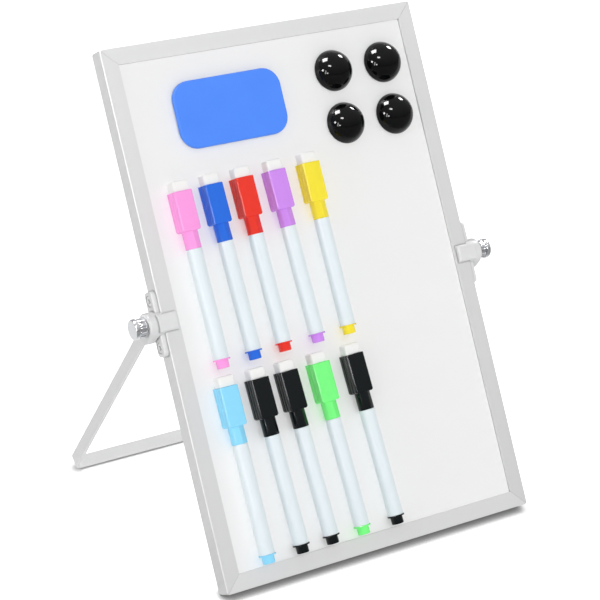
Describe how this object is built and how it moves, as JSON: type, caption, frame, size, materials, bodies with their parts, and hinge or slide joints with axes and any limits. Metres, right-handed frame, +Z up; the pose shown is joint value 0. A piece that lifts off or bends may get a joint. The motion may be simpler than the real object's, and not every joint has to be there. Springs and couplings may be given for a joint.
{
  "type": "magnetic desk whiteboard easel",
  "caption": "Framed magnetic writing board that pivots in a U-shaped strip stand with chrome thumb-screws, carrying capped markers, an eraser and dome magnets.",
  "frame": {"origin": "on the desk, at the middle of the whole easel's outline", "axes": "+Z up, the writing side faces -Y, +X to the right of someone who writes on it"},
  "size_m": [0.2366, 0.181, 0.2722],
  "materials": {
    "frame": "satin anodised",
    "corner_key": "moulded",
    "writing_sheet": "glossy white lacquer",
    "core": "raw",
    "moulding": "satin moulded",
    "screw": "plated",
    "insert": "turned",
    "stand": "satin powder coat",
    "chrome": "polished",
    "eraser_foam": "fine felt",
    "magnet_sheet": "matt magnetic sheet",
    "magnet_shell": "high gloss",
    "magnet_core": "pressed ferrite",
    "marker_barrel": "glossy white",
    "marker_pink": "glossy",
    "marker_blue": "glossy",
    "marker_red": "glossy",
    "marker_purple": "glossy",
    "marker_yellow": "glossy",
    "marker_light_blue": "glossy",
    "marker_green": "glossy",
    "marker_black": "glossy"
  },
  "bodies": {
    "stand": {"stand_strip": "stand", "left_hub": "moulding", "right_hub": "moulding"},
    "board": {"top_rail": "frame", "bottom_rail": "frame", "left_rail": "frame", "right_rail": "frame", "corner_keys": "corner_key", "front_sheet": "writing_sheet", "core_board": "core", "back_sheet": "writing_sheet", "left_bracket": "moulding", "right_bracket": "moulding", "bracket_screws": "screw", "threaded_inserts": "insert"},
    "left_knob": {"left_thumb_screw": "chrome"},
    "right_knob": {"right_thumb_screw": "chrome"},
    "eraser": {"eraser_foam": "eraser_foam", "eraser_magnet": "magnet_sheet"},
    "magnet_1": {"dome_magnet_1": "magnet_shell", "magnet_disc_1": "magnet_core"},
    "magnet_2": {"dome_magnet_2": "magnet_shell", "magnet_disc_2": "magnet_core"},
    "magnet_3": {"dome_magnet_3": "magnet_shell", "magnet_disc_3": "magnet_core"},
    "magnet_4": {"dome_magnet_4": "magnet_shell", "magnet_disc_4": "magnet_core"},
    "pink_marker": {"pink_marker_cap": "marker_pink", "pink_marker_barrel": "marker_barrel", "pink_marker_plug": "marker_pink"},
    "blue_marker": {"blue_marker_cap": "marker_blue", "blue_marker_barrel": "marker_barrel", "blue_marker_plug": "marker_blue"},
    "red_marker": {"red_marker_cap": "marker_red", "red_marker_barrel": "marker_barrel", "red_marker_plug": "marker_red"},
    "purple_marker": {"purple_marker_cap": "marker_purple", "purple_marker_barrel": "marker_barrel", "purple_marker_plug": "marker_purple"},
    "yellow_marker": {"yellow_marker_cap": "marker_yellow", "yellow_marker_barrel": "marker_barrel", "yellow_marker_plug": "marker_yellow"},
    "light_blue_marker": {"light_blue_marker_cap": "marker_light_blue", "light_blue_marker_barrel": "marker_barrel", "light_blue_marker_plug": "marker_light_blue"},
    "black_1_marker": {"black_1_marker_cap": "marker_black", "black_1_marker_barrel": "marker_barrel", "black_1_marker_plug": "marker_black"},
    "black_2_marker": {"black_2_marker_cap": "marker_black", "black_2_marker_barrel": "marker_barrel", "black_2_marker_plug": "marker_black"},
    "green_marker": {"green_marker_cap": "marker_green", "green_marker_barrel": "marker_barrel", "green_marker_plug": "marker_green"},
    "black_3_marker": {"black_3_marker_cap": "marker_black", "black_3_marker_barrel": "marker_barrel", "black_3_marker_plug": "marker_black"}
  },
  "joints": [
    {"name": "board_tilt", "type": "hinge", "parent": "stand", "child": "board", "pos_m": [0, -0.01139, 0.1361], "axis": [1, 0, 0], "continuous": true},
    {"name": "left_knob_turn", "type": "hinge", "parent": "stand", "child": "left_knob", "pos_m": [-0.1144, -0.01139, 0.1361], "axis": [1, 0, 0], "continuous": true},
    {"name": "right_knob_turn", "type": "hinge", "parent": "stand", "child": "right_knob", "pos_m": [0.1144, -0.01139, 0.1361], "axis": [1, 0, 0], "continuous": true},
    {"name": "eraser_lift", "type": "slide", "parent": "board", "child": "eraser", "axis": [0, -0.8771, 0.4802], "range_m": [0, 0.06]},
    {"name": "magnet_1_lift", "type": "slide", "parent": "board", "child": "magnet_1", "axis": [0, -0.8771, 0.4802], "range_m": [0, 0.06]},
    {"name": "magnet_2_lift", "type": "slide", "parent": "board", "child": "magnet_2", "axis": [0, -0.8771, 0.4802], "range_m": [0, 0.06]},
    {"name": "magnet_3_lift", "type": "slide", "parent": "board", "child": "magnet_3", "axis": [0, -0.8771, 0.4802], "range_m": [0, 0.06]},
    {"name": "magnet_4_lift", "type": "slide", "parent": "board", "child": "magnet_4", "axis": [0, -0.8771, 0.4802], "range_m": [0, 0.06]},
    {"name": "pink_marker_lift", "type": "slide", "parent": "board", "child": "pink_marker", "axis": [0, -0.8771, 0.4802], "range_m": [0, 0.06]},
    {"name": "blue_marker_lift", "type": "slide", "parent": "board", "child": "blue_marker", "axis": [0, -0.8771, 0.4802], "range_m": [0, 0.06]},
    {"name": "red_marker_lift", "type": "slide", "parent": "board", "child": "red_marker", "axis": [0, -0.8771, 0.4802], "range_m": [0, 0.06]},
    {"name": "purple_marker_lift", "type": "slide", "parent": "board", "child": "purple_marker", "axis": [0, -0.8771, 0.4802], "range_m": [0, 0.06]},
    {"name": "yellow_marker_lift", "type": "slide", "parent": "board", "child": "yellow_marker", "axis": [0, -0.8771, 0.4802], "range_m": [0, 0.06]},
    {"name": "light_blue_marker_lift", "type": "slide", "parent": "board", "child": "light_blue_marker", "axis": [0, -0.8771, 0.4802], "range_m": [0, 0.06]},
    {"name": "black_1_marker_lift", "type": "slide", "parent": "board", "child": "black_1_marker", "axis": [0, -0.8771, 0.4802], "range_m": [0, 0.06]},
    {"name": "black_2_marker_lift", "type": "slide", "parent": "board", "child": "black_2_marker", "axis": [0, -0.8771, 0.4802], "range_m": [0, 0.06]},
    {"name": "green_marker_lift", "type": "slide", "parent": "board", "child": "green_marker", "axis": [0, -0.8771, 0.4802], "range_m": [0, 0.06]},
    {"name": "black_3_marker_lift", "type": "slide", "parent": "board", "child": "black_3_marker", "axis": [0, -0.8771, 0.4802], "range_m": [0, 0.06]}
  ]
}
